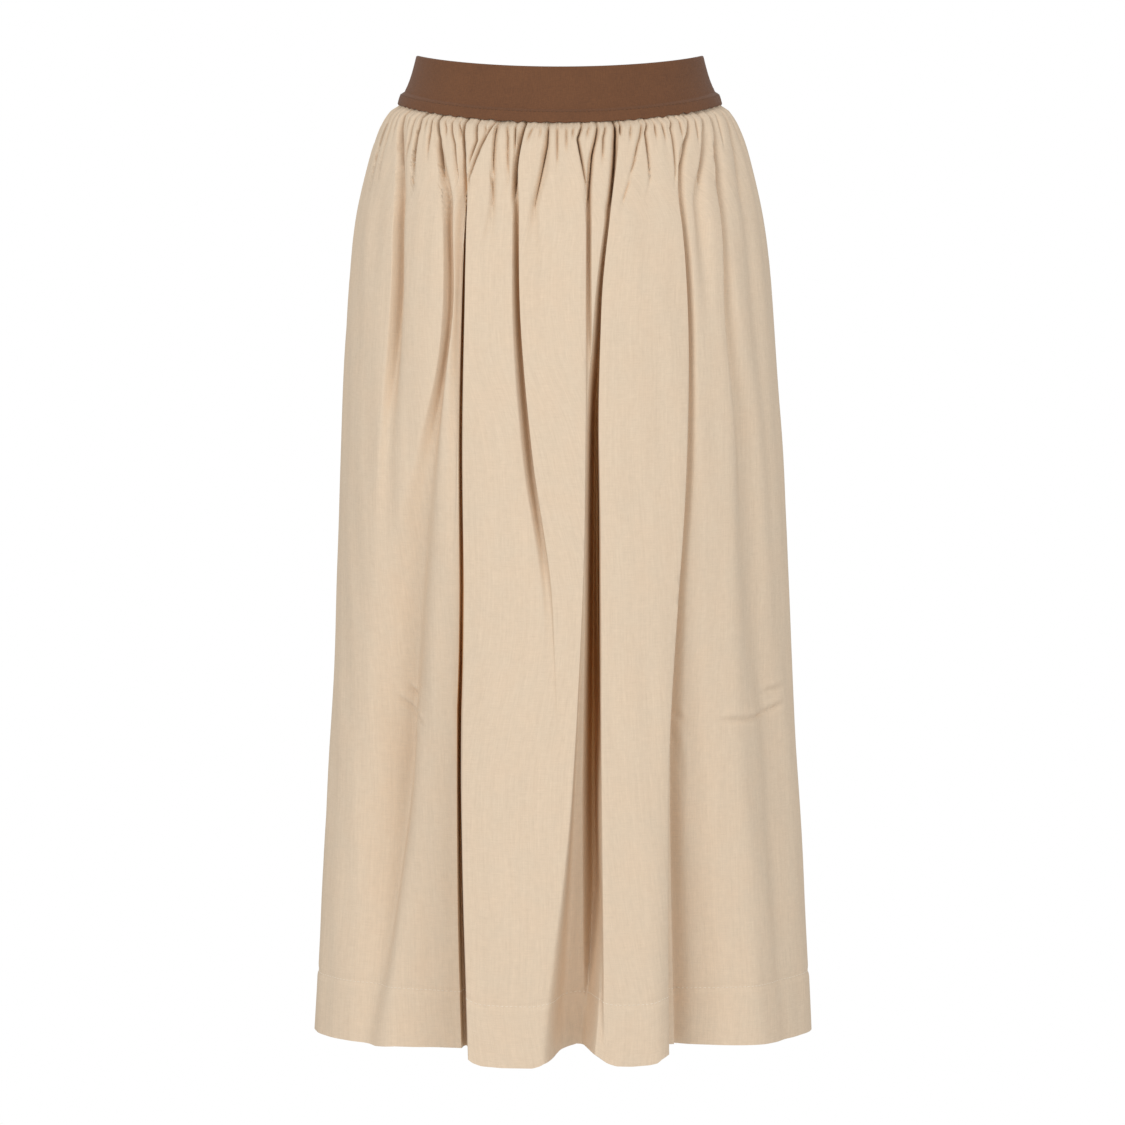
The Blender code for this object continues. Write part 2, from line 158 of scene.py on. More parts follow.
# For each valley its turn and its depth at these drops. Then its form: the reach of its left and
# right slopes at the hip and at the hem, how far its floor leans to the right, and how much of its
# depth rolls in gently on the left and on the right, at the hip and at the hem: 0 is a crisp lip,
# and less than 0 a crisper one. It has its form of the hip down to narrow_drop, and that of
# the hem from wide_drop on: FORM_DROPS, where its row names no drops of its own.
LEVELS = (45, 80, 120, 200, 320, 450, 600, 825)
FORM_COLUMNS = (
    "left_hip", "right_hip", "left_hem", "right_hem", "lean",
    "left_roll_hip", "right_roll_hip", "left_roll_hem", "right_roll_hem",
    "narrow_drop", "wide_drop",
)
FORM_DROPS = (120, 825)

FRONT_TURNS = {
    "left_wedge": (-34.6, -30.6, -28.6, -28.1, -27.8, -27.8, -27.8, -27.8),
    "far_left": (-64, -57.6, -53, -50, -50.4, -52, -54, -56),
    "left_soft": (-46.2, -38, -33.4, -31.2, -35.4, -43, -49.6, -58.5),
    "left_slit": (-33.7, -29.4, -27.2, -26.3, -25.8, -24.8, -24.7, -23.3),
    "left_step": (-33.7, -29.4, -27.2, -26.3, -26, -25.5, -24.8, -21.8),
    "left_inner": (-21.4, -19.8, -19.4, -21.6, -23, -23, -23, -23),
    "middle_shade": (-17.8, -15.6, -14.9, -14.8, -14.6, -13.5, -12, -12),
    "middle_line": (-12, -13.2, -12.2, -11.3, -7.8, -2.4, -1, -1),
    "middle_short": (-3.8, -4.6, -7.2, -7.6, -8, -8, -8, -8),
    "recess_branch": (12.6, 9, 8.1, 7.6, 7.4, 7.2, 7, 6.4),
    "recess": (8, 8, 8, 8, 7.4, 7, 6.7, 3.5),
    "slit": (18.8, 16, 13.3, 9.9, 8.3, 8.3, 8.15, 8.4),
    "right_slit": (48.8, 38.8, 36.4, 36.6, 35.4, 32.8, 33.2, 35.4),
    "right_step": (48.8, 38.8, 36.4, 36.6, 35.2, 32, 29.1, 28.3),
    "right_inner": (57.4, 48.6, 42.6, 43, 44, 44, 44, 44),
    "right_soft": (62.6, 55.6, 52.6, 51.6, 56.6, 61, 67.5, 71),
    "far_right": (76, 69.7, 66, 65, 69, 76, 82, 84),
}
FRONT_DEPTHS = {
    "left_wedge": (0, 4, 8, 8, 3, 0, 0, 0),
    "far_left": (1, 6, 12, 15, 5, 3, 2, 3),
    "left_soft": (1, 5, 12, 14, 12, 26, 37, 12),
    "left_slit": (2, 8, 13, 15, 13, 13, 20, 12),
    "left_step": (0, 0, 0, 0, 3, 11, 28, 54),
    "left_inner": (1, 2, 3, 2, 0, 0, 0, 0),
    "middle_shade": (1, 2, 3, 2, 1, 1, 0, 0),
    "middle_line": (2, 6, 11, 17, 15.5, 2.5, 0, 0),
    "middle_short": (1, 3, 3, 3, 0, 0, 0, 0),
    "recess_branch": (1, 5, 9, 7, 0, 0, 0, 0),
    "recess": (0, 0, 0, 0, 2, 7, 21, 52),
    "slit": (2, 6, 9, 17, 40, 48, 30, 0),
    "right_slit": (2, 5, 8, 11, 8.5, 10, 12, 8),
    "right_step": (0, 0, 0, 0, 3, 10, 26, 54),
    "right_inner": (2, 5, 5, 3, 0, 0, 0, 0),
    "right_soft": (2, 8, 10, 9, 11, 12, 12, 6),
    "far_right": (1, 3, 4, 4, 3, 3, 4, 5),
}
FRONT_FORMS = {
    "left_wedge": (4.6, 2.8, 4.6, 2.8, 0, 0.2, 0, 0.28, 0),
    "far_left": (2.6, 5, 24, 24, 0, 0.06, 0.28, 0.28, 0.28),
    "left_soft": (2.6, 3.4, 28, 19, 0, 0.1, 0.15, 0.28, 0.28, 240, 500),
    "left_slit": (1.35, 1.15, 2.8, 2.8, -4, 0.08, 0, 0, 0, 480, 800),
    "left_step": (60, 2, 90, 3, -6, 0.2, 0, 0.2, 0),
    "left_inner": (1.8, 4, 12, 12, 0, 0.1, 0.25, 0.28, 0.28, 100, 220),
    "middle_shade": (7, 5, 18, 12, 0, 0.28, 0.28, 0.28, 0.28, 100, 300),
    "middle_line": (2.4, 1.8, 4.2, 1.9, 2, 0.1, 0, 0.1, 0, 120, 360),
    "middle_short": (3, 3, 12, 12, 0, 0.2, 0.1, 0.28, 0.28, 100, 240),
    "recess_branch": (1.8, 1.6, 4, 4, 0, 0.05, 0.05, 0.28, 0.28),
    "recess": (3, 3, 18, 13.6, -3, -1, -0.8, 0.1, -0.8, 350, 825),
    "slit": (1.3, 1.9, 4.3, 4.1, 5, 0.05, 0, 0, 0, 120, 400),
    "right_slit": (1.4, 3.4, 2.4, 8, 0, 0.02, 0.2, 0.02, 0.28),
    "right_step": (3, 34, 4.6, 72, -9, 0, 0.2, 0.24, 0.2),
    "right_inner": (3, 5, 12, 12, 0, 0.2, 0.28, 0.28, 0.28, 100, 260),
    "right_soft": (1.7, 6, 26, 24, 0, 0.05, 0.28, 0.28, 0.28, 120, 600),
    "far_right": (7, 7, 24, 24, 0, 0.28, 0.28, 0.28, 0.28),
}

# The back hangs like the front, with folds of its own.
BACK_TURNS = {
    "far_left": (-68, -65, -62, -60, -60, -59, -58, -57),
    "left_deep": (-47, -43, -40, -37.5, -36, -34.5, -33.5, -32),
    "left_short": (-30, -27, -24.5, -22, -20, -18, -18, -18),
    "middle_deep": (-12, -9, -7.5, -6, -5, -4.6, -4, -3),
    "middle_short": (3, 4, 5.5, 8, 10, 12, 12, 12),
    "right_line": (20, 18.5, 17, 16.5, 17.5, 20, 22, 23),
    "right_deep": (36, 34.5, 33, 32, 31.5, 31, 30, 28.5),
    "right_short": (51, 47, 45, 44, 44, 44, 44, 44),
    "far_right": (66, 62, 58.5, 56, 56, 57, 58, 59),
}
BACK_DEPTHS = {
    "far_left": (2, 5, 8, 10, 9, 10, 12, 14),
    "left_deep": (3, 8, 13, 18, 26, 38, 56, 80),
    "left_short": (2, 5, 7, 8, 6, 2, 0, 0),
    "middle_deep": (3, 8, 13, 20, 30, 42, 60, 86),
    "middle_short": (2, 5, 6, 5, 2, 0, 0, 0),
    "right_line": (2, 6, 9, 12, 10, 6, 4, 3),
    "right_deep": (2, 6, 10, 15, 24, 36, 54, 78),
    "right_short": (2, 5, 6, 4, 0, 0, 0, 0),
    "far_right": (2, 5, 9, 11, 9, 9, 11, 13),
}
BACK_FORMS = {
    "far_left": (2.6, 6, 26, 24, 0, 0.06, 0.28, 0.28, 0.28),
    "left_deep": (5, 1.6, 30, 4, 5, 0.25, 0, 0.28, 0.05),
    "left_short": (4, 2.2, 12, 12, 0, 0.25, 0.05, 0.28, 0.28),
    "middle_deep": (1.6, 5, 4, 22, -5, 0, 0.25, 0.05, 0.28),
    "middle_short": (3, 4, 12, 12, 0, 0.15, 0.28, 0.28, 0.28),
    "right_line": (3.4, 1.4, 12, 3, 0, 0.25, 0, 0.28, 0.02),
    "right_deep": (1.6, 5, 4, 30, -5, 0, 0.25, 0.05, 0.28),
    "right_short": (4, 3, 12, 12, 0, 0.25, 0.15, 0.28, 0.28),
    "far_right": (3, 5, 24, 26, 0, 0.12, 0.28, 0.28, 0.28),
}

# Gathers: each valley's turn at the band, on its way, and where it ends, then its depth and the
# reach of its left and right slopes, or one for both. The longer ones run on into the long folds.
GATHER_COLUMNS = (
    "turn", "middle_turn", "middle_drop", "end_turn", "end_drop", "depth", "left", "right"
)
FRONT_GATHERS = (
    (-87, -87.5, 56, -88, 70, 1.2, 1.5),
    (-83.5, -85, 62, -86.5, 84, 3, 1.4),
    (-80, -76, 56, -73.8, 98, 7, 1.2, 2.4),
    (-74.5, -70.2, 60, -67.5, 108, 2.8, 1.4, 2),
    (-70.6, -67.4, 54, -65.6, 64, 2.6, 1.2),
    (-66.5, -62.2, 62, -55.3, 92, 5, 1.1, 2.6),
    (-62, -59.6, 52, -58.4, 60, 2.6, 1.2),
    (-57.4, -54.2, 64, -54, 84, 4.6, 2.2, 1),
    (-54.2, -51.9, 55, -48.8, 94, 7.6, 1, 1.9),
    (-51, -49.6, 50, -48.4, 58, 2.2, 1.2),
    (-48.5, -45.9, 56, -44, 76, 3.4, 1.2, 1.4),
    (-46, -41.1, 61, -37, 94, 7, 1, 2),
    (-42.6, -39.6, 52, -38.4, 60, 2.8, 1.1),
    (-39.2, -34.6, 64, -31.8, 90, 3.8, 1.7, 1),
    (-36.2, -34, 52, -32.6, 62, 3, 1.2, 1.1),
    (-33.8, -30.1, 72, -28.7, 100, 6.4, 1.6, 1),
    (-28.9, -26.8, 60, -27.8, 76, 5.6, 1.5, 1),
    (-25.8, -24.8, 50, -24.4, 57, 2.4, 1.1),
    (-22.8, -25.2, 66, -27.4, 92, 5.2, 1.9, 0.9),
    (-21.4, -20.8, 64, -19.3, 116, 3.8, 1, 2),
    (-17.9, -16.6, 56, -15.2, 92, 3, 1.1, 1.7),
    (-14.9, -14.2, 56, -13.9, 68, 3.6, 1),
    (-11.8, -12.7, 66, -13.4, 100, 7, 1.5, 0.9),
    (-8.6, -9.6, 52, -10.4, 62, 2.4, 1.2),
    (-6.4, -6.2, 50, -6.6, 58, 2, 1.1),
    (-3.8, -3.9, 61, -7, 112, 4.6, 1.6, 1),
    (-0.8, -0.8, 58, -0.7, 80, 2.8, 1.2),
    (2.2, 2.1, 54, 2, 68, 2.4, 1.2),
    (4.8, 4.2, 50, 4, 58, 2.4, 1.1),
    (7.4, 5.6, 56, 7.6, 96, 5, 1, 1.3),
    (10.2, 9, 50, 8.4, 58, 2.4, 1.1),
    (12.8, 9.9, 70, 8.4, 104, 4.6, 1, 1.1),
    (15.6, 13.8, 56, 12.8, 76, 3.4, 1.2),
    (18.7, 17.2, 60, 14.2, 108, 7, 1.9, 0.9),
    (20.9, 20, 49, 19.4, 56, 5, 1),
    (24.8, 23.2, 52, 22.4, 62, 2.6, 1.2),
    (28.6, 24.6, 64, 17.2, 117, 2.8, 1.5, 1.1),
    (30.8, 28.2, 54, 27.2, 94, 4.4, 1, 1.2),
    (33.6, 32.4, 52, 31.6, 62, 2.8, 1.1),
    (36.4, 35.6, 52, 34.9, 64, 2.8, 1.1),
    (41, 38.4, 52, 36.2, 90, 4.4, 1, 1.7),
    (44.4, 43, 52, 42, 62, 3, 1.2),
    (48.8, 43.4, 62, 37.6, 92, 4, 1.2, 1.7),
    (52.8, 50.6, 52, 48.4, 66, 3, 1.2),
    (57.4, 51.8, 60, 46.2, 92, 6.6, 1, 2.2),
    (62.6, 57.4, 66, 53.3, 106, 8.6, 0.9, 2.4),
    (67.6, 64.6, 56, 62, 72, 2.8, 1.3),
    (75, 70.5, 66, 66.3, 112, 3.4, 1.6, 3),
    (80.5, 78, 58, 76.5, 80, 2.8, 1.4),
    (86.5, 86.4, 56, 87, 70, 1.4, 1.5),
)
BACK_GATHERS = (
    (-86.5, -87, 56, -87.6, 70, 1.4, 1.5),
    (-82, -80.4, 58, -79, 78, 3, 1.4),
    (-77, -73.6, 62, -71, 94, 6.4, 1.1, 2.2),
    (-72.8, -71, 52, -69.6, 64, 2.6, 1.2),
    (-69, -65.6, 66, -62.6, 108, 5.4, 1.2, 2.4),
    (-64.8, -63, 52, -62, 60, 2.8, 1.2),
    (-61, -57.6, 58, -55.6, 84, 4.2, 1.8, 1),
    (-57.4, -55.6, 52, -54.6, 62, 2.6, 1.2),
    (-54, -50.6, 60, -47, 92, 6.8, 1, 2),
    (-50.4, -48.6, 50, -47.6, 58, 2.4, 1.1),
    (-47.2, -44.2, 66, -41.4, 104, 7, 1.8, 1),
    (-43.8, -41.8, 52, -40.6, 64, 3, 1.2),
    (-40, -38.6, 56, -39, 82, 4.6, 1.8, 1),
    (-36.6, -35, 52, -34, 60, 2.6, 1.1),
    (-33.6, -31.8, 58, -30.6, 74, 3.2, 1.2),
    (-30, -27.4, 64, -25.2, 102, 5.8, 1.7, 1),
    (-27, -25.4, 50, -24.6, 58, 2.4, 1.1),
    (-23.8, -21.8, 58, -21, 86, 3.8, 1, 1.8),
    (-20.4, -19, 52, -18.4, 62, 2.6, 1.1),
    (-17.4, -15.2, 58, -13.6, 88, 4.8, 1.6, 1),
    (-14.4, -12.8, 50, -12, 58, 2.2, 1.1),
    (-11.8, -9.8, 64, -8, 106, 7.2, 0.9, 1.9),
    (-8.4, -7.4, 54, -7.4, 70, 3.4, 1),
    (-4.6, -3.6, 52, -3.2, 62, 2.6, 1.2),
    (-1.2, -0.6, 58, 0.4, 84, 4, 1.7, 1),
    (2.4, 3.6, 60, 5.2, 100, 5.6, 1.1, 2),
    (5.8, 6.2, 50, 6.6, 58, 2.4, 1.1),
    (9, 8.6, 56, 8.4, 80, 3.6, 1.2, 1.4),
    (12.4, 11.4, 52, 11, 62, 2.6, 1.1),
    (15.8, 15.2, 58, 15.6, 76, 3.4, 1.2),
    (19.8, 18.2, 64, 17.2, 108, 6.4, 1.7, 0.9),
    (22.6, 21.2, 50, 20.4, 58, 2.4, 1.1),
    (25.4, 22.6, 60, 20, 84, 4.4, 1, 1.6),
    (29.2, 27.4, 54, 26.4, 68, 3, 1.2),
    (32.4, 32.2, 60, 32.4, 88, 4.6, 1.8, 1),
    (36.2, 34.8, 64, 33.6, 104, 7.2, 0.9, 2),
    (39.6, 38.2, 50, 37.4, 58, 2.4, 1.1),
    (43.2, 40.4, 60, 37.6, 84, 4.2, 1, 1.6),
    (47.6, 45.6, 54, 44.2, 66, 2.8, 1.2),
    (51.6, 48.6, 62, 46.6, 96, 6, 1.7, 1),
    (56, 54, 52, 52.8, 62, 2.6, 1.2),
    (60.4, 57.2, 58, 54.8, 82, 4, 1.1, 1.8),
    (65.6, 63, 64, 60.6, 104, 6.6, 1, 2.2),
    (70.4, 68, 54, 66.4, 66, 2.8, 1.2),
    (75.2, 72.6, 62, 70.4, 88, 4.2, 1.6, 1.1),
    (80.8, 79.4, 56, 78.4, 74, 2.8, 1.4),
    (86.5, 86.8, 56, 87.4, 70, 1.4, 1.5),
)

# (turn of the gather at the band that runs into it, long fold that reaches the hem)
FRONT_ANCHORS = ((-33.8, "left_slit"), (18.7, "slit"), (48.8, "right_slit"))
BACK_ANCHORS = ((-47.2, "left_deep"), (-11.8, "middle_deep"), (36.2, "right_deep"))

# How far the front's lowest edge is lifted at each turn, and from which drop on it rises.
HEM_LIFTS = (
    (-70, 1), (-60, 1.4), (-53.5, 1.2), (-49, 2.4), (-45.5, 3.5), (-40, 3.9),
    (-33, 5), (-24, 6), (-22.4, 7.5), (-21.2, 6.5), (-19.6, 2.5), (-17.5, 0.3),
    (-13, -0.5), (-6, -0.5), (-4.4, 1.2), (-3.4, 3), (-0.8, 5.5), (1, 8.8), (3.2, 11.4),
    (5, 13.2), (6.6, 12.8), (8.4, 9.6), (9.4, 6.6), (10.4, 3.8), (12.4, 1.2), (16, 0.3),
    (20, 0.6), (22, 1.6), (23.2, 4.2), (25, 6.2), (27.2, 7.6), (28.6, 8.2), (34, 7.4),
    (40, 6.2), (46, 4.8), (52, 3.4), (58, 2.2), (64, 1.3), (70, 0.8), (75, 0.5),
)
LIFT_DROP = 620.0

# Small creases: where each starts and ends, its half width, and how deep it is pressed in. Each
# has a low ridge beside it, on its upper or right side, and fades in and out between these shares
# of its length.
RIDGE_AWAY, RIDGE_WIDTH, RIDGE_HEIGHT = 2.2, 1.4, 0.6
CREASE_TAPER = (-0.1, 0.35, 0.65, 1.1)
CREASE_COLUMNS = ("turn", "drop", "end_turn", "end_drop", "width", "depth")
FRONT_CREASES = (
    (-49.6, 522, -42.4, 535, 2, 2.2),
    (-53, 533, -47, 543, 2, 2.4),
    (-48, 541.5, -42.5, 563, 2.2, 2.2),
    (-45.2, 539, -37.4, 552.5, 1.7, 2),
    (-45, 520.5, -35.5, 517.5, 3.5, 1.2),
    (66, 533.5, 77.5, 530.5, 2.2, 1.8),
    (45.5, 550, 57, 552.5, 2.4, 1.8),
    (54, 552.5, 67, 551, 2, 2.2),
    (64, 551.5, 77, 544.5, 2, 2),
    (33.8, 540, 36.8, 548.5, 2.4, 1.1),
    (34, 555, 37.2, 599, 2.6, 1.1),
    (-3, 330, 1, 420, 6, 0.5),
    (20, 470, 23, 600, 7, 0.5),
)
BACK_CREASES = (
    (-52, 480, -45, 492, 2.4, 1.6),
    (-50, 512, -42, 524, 2.2, 1.4),
    (12, 560, 20, 552, 2.4, 1.4),
    (44, 500, 52, 514, 2.6, 1.6),
    (46, 530, 55, 538, 2, 1.2),
    (-20, 610, -14, 640, 3, 1),
)

PANEL_PARTS = ("faces_back", "turns", "depths", "forms", "gathers", "anchors", "creases")
PANELS = {
    "front_panel": (
        False, FRONT_TURNS, FRONT_DEPTHS, FRONT_FORMS, FRONT_GATHERS, FRONT_ANCHORS, FRONT_CREASES,
    ),
    "back_panel": (
        True, BACK_TURNS, BACK_DEPTHS, BACK_FORMS, BACK_GATHERS, BACK_ANCHORS, BACK_CREASES,
    ),
}

# ---- elastic and stitches

BAND_WALL = 1.6
BAND_RIBS = 330
COLUMNS_PER_RIB = 4
RIB_DEPTH = 0.16
BAND_ROWS = (
    0, 0.5, 1.3, 2.4, 5, 10, 15, 20, 25, 28, 29.6, 30.4, 31, 32, 33, 34.5, 37, 39, 40, 40.6, 41,
)
BAND_INSIDE_ROWS = (41, 36, 30, 20, 10, 2, 0)
BAND_EDGE_ROUND = 0.7
BAND_SHARP_ANGLE = 50

# The gathers push the band's lower edge up and down, by waves of chance counts round the skirt.
EDGE_SCALLOP, SCALLOP_DROP = 0.45, 36
SCALLOP_SEED, SCALLOP_WAVES, SCALLOP_COUNTS = 5, 9, (28, 95)
BAND_GROOVE_DROP, BAND_GROOVE_DEPTH, BAND_GROOVE_WIDTH = 30.2, 0.5, 0.8

# Stitches: (length, gap, thickness)
HEM_STITCH, HEM_STITCH_DROP = (2.6, 1.1, 0.6), HEM_DROP - 50.0
BAND_STITCH, BAND_STITCH_DROP, BAND_STITCH_SAMPLES = (2.6, 1.0, 0.36), 32.6, 1200

# Rings of a stitch: (share of its length, share of its half width, lift as a share of its width)
STITCH_RINGS = (
    (0, 0.35, -0.25), (0.12, 0.8, 0.1), (0.35, 1.0, 0.3),
    (0.65, 1.0, 0.3), (0.88, 0.8, 0.1), (1.0, 0.35, -0.25),
)
STITCH_SIDES = 6

# ---- colours and light

CLOTH_COLOUR = (0.745, 0.585, 0.435)
CLOTH_GREY = (0.733, 0.586, 0.441)
# Painted shade: the dark warm colour that narrow folds and gathers are painted towards, in place of
# their shadow.
PAINTED_FOLD_SHADE = (0.80, 0.45, 0.18)
THREAD_COLOUR = (0.93, 0.82, 0.68)
BAND_COLOUR = (0.182, 0.074, 0.030)
BAND_SHADE = (0.123, 0.050, 0.022)
BAND_THREAD_COLOUR = (0.15, 0.07, 0.035)
THREAD_SHADE = 0.8

# Noises: (scale, or one along each axis, detail, roughness)
CLOTH_NOISES = {
    "warp": ((1500, 60, 1), 2, 0.5),
    "weft": ((70, 1500, 1), 2, 0.5),
    "slub": ((420, 14, 1), 3, 0.6),
    "cloud": (34, 3, 0.55),
    "mottle": ((230, 150, 1), 4, 0.62),
}
ELASTIC_NOISES = {
    "wefts": ((260, 260, 2600), 1, 0.5),
    "ends": ((1500, 1500, 90), 2, 0.5),
    "cloud": (30, 2, 0.5),
}
TWIST_NOISE = ((2200, 2200, 900), 1, 0.5)

# Where each noise, or sum of noises, begins and ends to count, and the tones that it then gives.
WEAVE_TONES = (0.6, 1.4, 0.935, 1.055)
STREAK_TONES = (0.7, 1.3, 0.955, 1.04)
CLOUD_SPAN, TWIST_SPAN, ELASTIC_SPAN = (0.35, 0.65), (0.3, 0.7), (0.45, 0.9)
ELASTIC_THREADS, ELASTIC_CLOUD = 0.5, 0.35

# Bumps: (strength, height in metres)
CLOTH_BUMP, ELASTIC_BUMP, TWIST_BUMP = (0.4, 0.0004), (0.4, 0.0003), (0.3, 0.0002)
CLOTH_SURFACE = {"Roughness": 0.9, "Specular IOR Level": 0.12}
ELASTIC_SURFACE = {
    "Roughness": 0.78, "Sheen Weight": 0.15, "Sheen Roughness": 0.45, "Specular IOR Level": 0.3,
}
THREAD_SURFACE = {"Roughness": 0.6}
FLOOR_SURFACE = {"Roughness": 0.9}

# Sockets of a colour mix that share their names with other sockets of the node.
MIX_FACTOR, MIX_FIRST, MIX_SECOND, MIX_RESULT = 0, 6, 7, 2

CAMERA_PLACE = (0.00225, -3.0, -0.4296)
CAMERA_LENS = 113.18
CAMERA_SENSOR = 36.0
AIM = (0.0, 0.0, -0.42)

LIGHT_COLUMNS = ("name", "place", "size", "watts")
LIGHTS = (
    ("key", (-1.8, -3.2, 0.8), 1.5, 43.6),
    ("fill", (1.7, -3.2, 0.3), 1.5, 30.4),
)
LAMP_COLOUR = (1.0, 0.985, 0.955)
WORLD_LIGHT = 0.62
WORLD_COLOUR = (0.972, 1.0, 1.012)
WHITE = (1.0, 1.0, 1.0)
FLOOR_DROP = 1.0
FLOOR_RADIUS, FLOOR_SIDES = 0.55, 64
FLOOR_COLOUR = (0.84, 0.83, 0.82)


# ---- shape of the cloth


def columns_of(rows, names):
    """A table's rows as one array for each named column."""
    return {name: np.array(values, float) for name, values in zip(names, zip(*rows))}


def along(at, stations, values):
    """A smooth curve through the values, which never overshoots them."""
    stations = np.asarray(stations, float)
    values = np.asarray(values, float)
    steps = np.diff(stations)
    rises = np.diff(values) / steps
    slopes = np.zeros_like(values)
    level = rises[:-1] * rises[1:] <= 0
    mean = 2 * rises[:-1] * rises[1:] / np.where(level, 1, rises[:-1] + rises[1:])
    slopes[1:-1] = np.where(level, 0, mean)
    slopes[0], slopes[-1] = rises[0], rises[-1]
    at = np.clip(at, stations[0], stations[-1])
    cell = np.clip(np.searchsorted(stations, at, side="right") - 1, 0, len(steps) - 1)
    step = steps[cell]
    part = (at - stations[cell]) / step
    rest = 1 - part
    return (
        values[cell] * (1 + 2 * part) * rest**2
        + values[cell + 1] * (1 + 2 * rest) * part**2
        + step * part * rest * (slopes[cell] * rest - slopes[cell + 1] * part)
    )


def smooth_step(value, start, end):
    part = np.clip((value - start) / (end - start), 0, 1)
    return part * part * (3 - 2 * part)


def swaying_wave(turn, count, sway, sways):
    return np.sin(count * turn + sway * np.sin(sways * turn))


OUTLINE_AT = columns_of(OUTLINE, OUTLINE_COLUMNS)
BAND_AT = columns_of(BAND_OUTLINE, BAND_OUTLINE_COLUMNS)


def outline(name, drop):
    return float(along(drop, OUTLINE_AT["drop"], OUTLINE_AT[name]))


def lowering(turn, drop, faces_back):
    """How far a level hangs below its sides at each turn: only the front dips."""
    if faces_back:
        return np.zeros_like(turn)
    return outline("front_dip", drop) * np.maximum(np.cos(turn), 0) ** DIP_SHARPNESS


def reach_of(panel, drop):
    """How far one level of a panel reaches out at its middle."""
    return outline("back" if panel["faces_back"] else "front", drop)


def long_folds(panel, drop):
    """The turn, depth, slopes and lean of each long fold at one level."""
    found = []
    for name, turns in panel["turns"].items():
        form = dict(zip(FORM_COLUMNS, panel["forms"][name] + FORM_DROPS))
        lowness = smooth_step(drop, form["narrow_drop"], form["wide_drop"])
        depth = float(along(drop, LEVELS, panel["depths"][name]))
        fold = {
            key: form[key + "_hip"] + (form[key + "_hem"] - form[key + "_hip"]) * lowness
            for key in ("left", "right", "left_roll", "right_roll")
        }
        fold["turn"] = math.radians(float(along(drop, LEVELS, turns)))
        fold["depth"] = depth
        fold["lean"] = form["lean"] * min(1.0, depth / LEANING_DEPTH)
        found.append(fold)
    return found


def folded(panel, drop, turn):
    """How far the long folds press one level in and aside, and how close their walls are."""
    half_width = outline("half_width", drop)
    reach = reach_of(panel, drop)
    inward = np.zeros_like(turn)
    sideways = np.zeros_like(turn)
    closeness = np.zeros_like(turn)
    for fold in long_folds(panel, drop):
        scale = math.hypot(half_width * math.cos(fold["turn"]), reach * math.sin(fold["turn"]))
        away = (turn - fold["turn"]) * scale
        near = abs(away) / np.where(away < 0, fold["left"], fold["right"])
        roll = np.where(away < 0, fold["left_roll"], fold["right_roll"])
        power = CRISP_POWER + (SOFT_POWER - CRISP_POWER) * roll / FULL_ROLL
        roll = np.maximum(roll, 0)
        press = (1 - roll) * np.exp(-near**power) + roll * np.exp(-((near / ROLL_REACH) ** 2))
        inward += fold["depth"] * press
        sideways += fold["lean"] * press
        closeness += fold["depth"] * press / (fold["left"] + fold["right"])
    seam_hold = smooth_step(QUARTER - abs(turn), 0, SEAM_HOLD)
    return inward * seam_hold, sideways * seam_hold, closeness * seam_hold


def lifting(turn, drop, faces_back):
    """How far the lowest part of the front is lifted at each turn."""
    if faces_back or drop <= LIFT_DROP:
        return np.zeros_like(turn)
    turns, lifts = np.array(HEM_LIFTS).T
    share = ((drop - LIFT_DROP) / (HEM_DROP - LIFT_DROP)) ** 2
    return np.interp(np.degrees(turn), turns, lifts) * share


def section(panel, drop, turn, inward, sideways):
    """Points of one level, in millimetres: the outline pressed in and aside."""
    half_width = outline("half_width", drop)
    reach = reach_of(panel, drop)
    facing = turn * (FRONTAL_PRESS + (1 - FRONTAL_PRESS) * abs(turn) / QUARTER)
    x = half_width * np.sin(turn) + np.cos(facing) * sideways - np.sin(facing) * inward
    y = -reach * np.cos(turn) + np.sin(facing) * sideways + np.cos(facing) * inward
    z = lifting(turn, drop, panel["faces_back"]) - drop - lowering(turn, drop, panel["faces_back"])
    if panel["faces_back"]:
        x, y = -x, -y
    x = x + DRIFT * smooth_step(drop, *DRIFT_DROPS) * np.sin(turn) ** 2
    return np.stack([x, y, z], axis=-1)


def gathers_of(panel):
    """Every gather of a panel, and how one that has ended keeps its place between longer ones."""
    gathers = [dict(zip(GATHER_COLUMNS, row + row[-1:])) for row in panel["gathers"]]
    ends = [math.inf] + [gather["end_drop"] for gather in gathers] + [math.inf]
    for index in sorted(range(len(gathers)), key=lambda index: -ends[index + 1]):
        gather, end = gathers[index], ends[index + 1]
        gather["before"] = max(near for near in range(index + 1) if ends[near] > end) - 1
        after = min(near for near in range(index + 2, len(ends)) if ends[near] >= end)
        gather["after"] = after - 1
        low, high = (valley_turn(gathers, gather[side], end) for side in ("before", "after"))
        gather["share"] = (gather["end_turn"] - low) / (high - low)
        assert 0 < gather["share"] < 1, f"gather {index} ends outside its longer neighbours"
    return gathers


def valley_turn(gathers, index, drop):
    """The turn of one gather's valley at one level."""
    if not 0 <= index < len(gathers):
        return -90.0 if index < 0 else 90.0
    gather = gathers[index]
    if drop > gather["end_drop"]:
        low, high = (valley_turn(gathers, gather[side], drop) for side in ("before", "after"))
        return low + gather["share"] * (high - low)
    stations = (GATHER_TOP, gather["middle_drop"], gather["end_drop"])
    return np.interp(drop, stations, [gather[key] for key in ("turn", "middle_turn", "end_turn")])


def gather_turns(gathers, drop):
    """The turn of each gather's valley at one level."""
    turns = np.array([valley_turn(gathers, index, drop) for index in range(len(gathers))])
    assert (np.diff(turns) > 0).all(), f"gathers cross at a drop of {drop}"
    return np.radians(turns)


